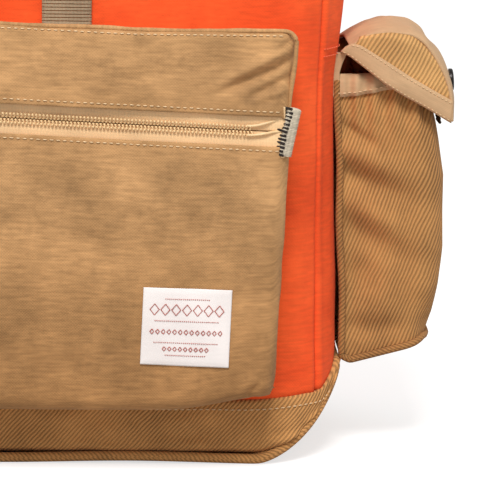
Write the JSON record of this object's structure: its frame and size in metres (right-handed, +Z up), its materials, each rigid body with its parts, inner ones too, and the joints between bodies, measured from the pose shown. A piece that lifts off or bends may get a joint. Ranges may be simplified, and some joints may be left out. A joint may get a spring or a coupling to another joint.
{
  "type": "hunting backpack",
  "caption": "Canvas hunting backpack with a hinged lid, a zipped front pocket, flapped bellows side pockets, a piped base and padded shoulder straps.",
  "frame": {"origin": "centre of the flat underside that the pack stands on", "axes": "+Z up, -Y out of the front, +X to the right of someone facing the front"},
  "size_m": [0.4182, 0.2766, 0.471],
  "materials": {
    "orange_canvas": "waxed plain weave",
    "twill": "ribbed twill",
    "binding": "smooth folded cloth",
    "stiffener": "matte",
    "foam": "closed-cell foam",
    "lining": "thin plain weave",
    "waxed_canvas": "waxed plain weave",
    "zip_tape": "fine ribbed weave",
    "zip_coil": "satin",
    "webbing": "ribbed webbing",
    "zip_metal": "antique dark",
    "label": "woven label",
    "snap_metal": "dark enamel",
    "buckle": "moulded"
  },
  "bodies": {
    "pack": {"front_panel": "orange_canvas", "back_panel": "orange_canvas", "side_panel_left": "orange_canvas", "side_panel_right": "orange_canvas", "base_boot": "twill", "base_panel": "twill", "base_piping": "twill", "base_stiffener": "stiffener", "back_foam": "foam", "back_lining": "lining", "mouth_rim": "binding", "pocket_upper": "waxed_canvas", "pocket_lower": "waxed_canvas", "zip_tape_upper": "zip_tape", "zip_tape_lower": "zip_tape", "zip_coil_upper": "zip_coil", "zip_coil_lower": "zip_coil", "zip_end_tabs": "webbing", "front_label": "label", "side_pocket_left": "twill", "side_pocket_right": "twill", "side_hem_left": "binding", "side_hem_right": "binding", "side_piping_left": "twill", "side_piping_right": "twill", "flap_root_left": "twill", "flap_root_right": "twill", "snap_studs": "snap_metal", "front_strap": "webbing", "buckle_female": "buckle", "strap_anchor_left": "twill", "strap_anchor_right": "twill", "strap_yoke": "twill"},
    "zip_slider": {"zip_slider": "zip_metal"},
    "zip_pull": {"zip_pull": "zip_metal"},
    "lid": {"lid_panel": "orange_canvas", "lid_binding": "binding", "lid_strap_root": "webbing"},
    "lid_strap": {"lid_strap": "webbing", "buckle_male": "buckle"},
    "haul_loop": {"haul_loop": "webbing"},
    "side_flap_left": {"flap_left": "twill", "flap_binding_left": "binding", "snap_cap_left": "snap_metal", "snap_socket_left": "snap_metal"},
    "shoulder_strap_left": {"shoulder_pad_left": "waxed_canvas", "shoulder_webbing_left": "webbing", "ladder_lock_left": "buckle"},
    "side_flap_right": {"flap_right": "twill", "flap_binding_right": "binding", "snap_cap_right": "snap_metal", "snap_socket_right": "snap_metal"},
    "shoulder_strap_right": {"shoulder_pad_right": "waxed_canvas", "shoulder_webbing_right": "webbing", "ladder_lock_right": "buckle"}
  },
  "joints": [
    {"name": "front_zip", "type": "slide", "parent": "pack", "child": "zip_slider", "axis": [0.9991, 0, -0.0419], "range_m": [0, 0.184]},
    {"name": "zip_pull_swing", "type": "hinge", "parent": "zip_slider", "child": "zip_pull", "pos_m": [-0.09192, -0.13, 0.18945], "axis": [-0.0419, 0, -0.9991], "range_deg": [0, 175]},
    {"name": "lid_hinge", "type": "hinge", "parent": "pack", "child": "lid", "pos_m": [0, 0.0875, 0.454], "axis": [-1, 0, 0], "range_deg": [0, 95]},
    {"name": "lid_strap_hinge", "type": "hinge", "parent": "lid", "child": "lid_strap", "pos_m": [0, -0.097, 0.4435], "axis": [-1, 0, 0], "range_deg": [-95, 0]},
    {"name": "haul_loop_swing", "type": "hinge", "parent": "pack", "child": "haul_loop", "pos_m": [0, 0.0886, 0.398], "axis": [1, 0, 0], "range_deg": [0, 90]},
    {"name": "side_flap_left_hinge", "type": "hinge", "parent": "pack", "child": "side_flap_left", "pos_m": [-0.1603, 0, 0.216], "axis": [0, 1, 0], "range_deg": [0, 75]},
    {"name": "shoulder_strap_left_swing", "type": "hinge", "parent": "pack", "child": "shoulder_strap_left", "pos_m": [-0.06, 0.09, 0.405], "axis": [0.1045, 0, 0.9945], "range_deg": [-12, 12]},
    {"name": "side_flap_right_hinge", "type": "hinge", "parent": "pack", "child": "side_flap_right", "pos_m": [0.1603, 0, 0.216], "axis": [0, -1, 0], "range_deg": [0, 75]},
    {"name": "shoulder_strap_right_swing", "type": "hinge", "parent": "pack", "child": "shoulder_strap_right", "pos_m": [0.06, 0.09, 0.405], "axis": [-0.1045, 0, 0.9945], "range_deg": [-12, 12]}
  ],
  "couplings": [
    {"joint": "lid_strap_hinge", "follows": "lid_hinge", "ratio": -1}
  ]
}
